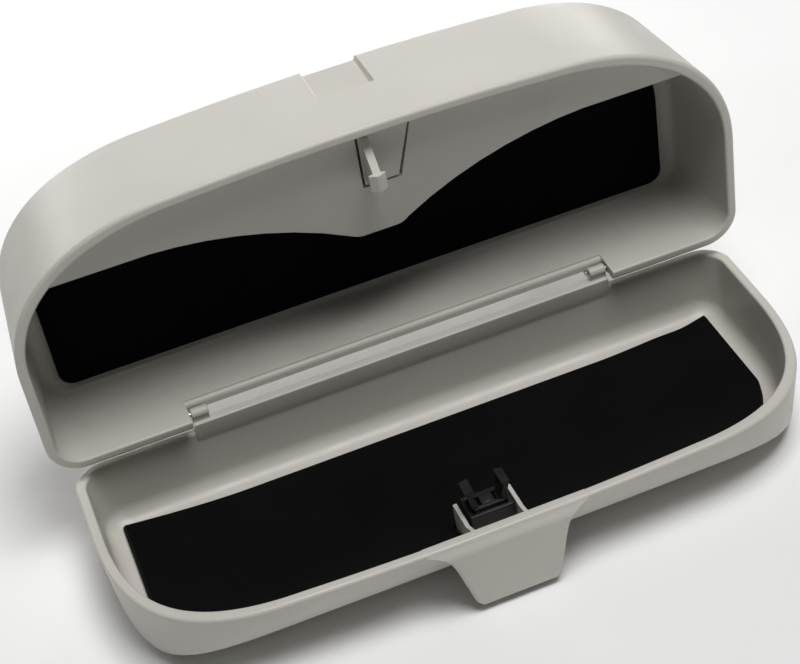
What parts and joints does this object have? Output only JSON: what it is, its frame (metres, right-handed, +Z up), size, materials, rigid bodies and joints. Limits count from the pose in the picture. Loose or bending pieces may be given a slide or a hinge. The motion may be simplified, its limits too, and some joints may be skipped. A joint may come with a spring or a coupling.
{
  "type": "overhead sunglasses case",
  "caption": "Hinged hard case for sunglasses for a car roof: padded housing and door on two short hinge pins, held shut by a push-push latch that grips an arrow-headed striker.",
  "frame": {"origin": "middle of the object's footprint, on the surface that the open door rests on", "axes": "+X along the hinge, +Y to the back, towards the roof clips, +Z up"},
  "size_m": [0.1674, 0.1, 0.0852],
  "materials": {
    "shell_plastic": "fine satin grain, warm light grey",
    "retainer_plastic": "smooth satin, warm light grey",
    "pad_foam": "black felt-faced foam",
    "adhesive_tape": "thin double-sided adhesive film",
    "latch_plastic": "black acetal, slight sheen",
    "spring_steel": "bare spring steel",
    "zinc_steel": "zinc-plated"
  },
  "bodies": {
    "housing": {"base_housing": "shell_plastic", "base_pad_tape": "adhesive_tape", "base_pad": "pad_foam", "glasses_retainer": "retainer_plastic", "striker": "retainer_plastic", "roof_clip_left": "spring_steel", "roof_clip_right": "spring_steel", "clip_screw_left": "zinc_steel", "clip_screw_right": "zinc_steel", "hinge_pin_left": "zinc_steel", "hinge_pin_right": "zinc_steel"},
    "door": {"door_shell": "shell_plastic", "door_pad_tape": "adhesive_tape", "door_pad": "pad_foam", "latch_housing": "latch_plastic", "latch_spring": "spring_steel"},
    "latch_slider": {"latch_plunger": "latch_plastic", "jaw_pin_left": "zinc_steel", "jaw_pin_right": "zinc_steel"},
    "jaw_left": {"latch_jaw_left": "latch_plastic"},
    "jaw_right": {"latch_jaw_right": "latch_plastic"}
  },
  "joints": [
    {"name": "door_hinge", "type": "hinge", "parent": "housing", "child": "door", "pos_m": [0, 0.01423, 0.0236], "axis": [-1, 0, 0], "range_deg": [0, 90]},
    {"name": "latch_slide", "type": "slide", "parent": "door", "child": "latch_slider", "axis": [0, 0, -1], "range_m": [0, 0.0027], "stiffness_N_per_m": 150, "springref_m": -0.002, "deforming": ["latch_spring"]},
    {"name": "jaw_left_pivot", "type": "hinge", "parent": "latch_slider", "child": "jaw_left", "pos_m": [-0.0029, -0.03462, 0.0149], "axis": [0, 1, 0], "range_deg": [0, 14]},
    {"name": "jaw_right_pivot", "type": "hinge", "parent": "latch_slider", "child": "jaw_right", "pos_m": [0.0029, -0.03462, 0.0149], "axis": [0, -1, 0], "range_deg": [0, 14]}
  ],
  "couplings": [
    {"joint": "jaw_left_pivot", "follows": "latch_slide", "rad_per_m": 90.49},
    {"joint": "jaw_right_pivot", "follows": "latch_slide", "rad_per_m": 90.49}
  ]
}
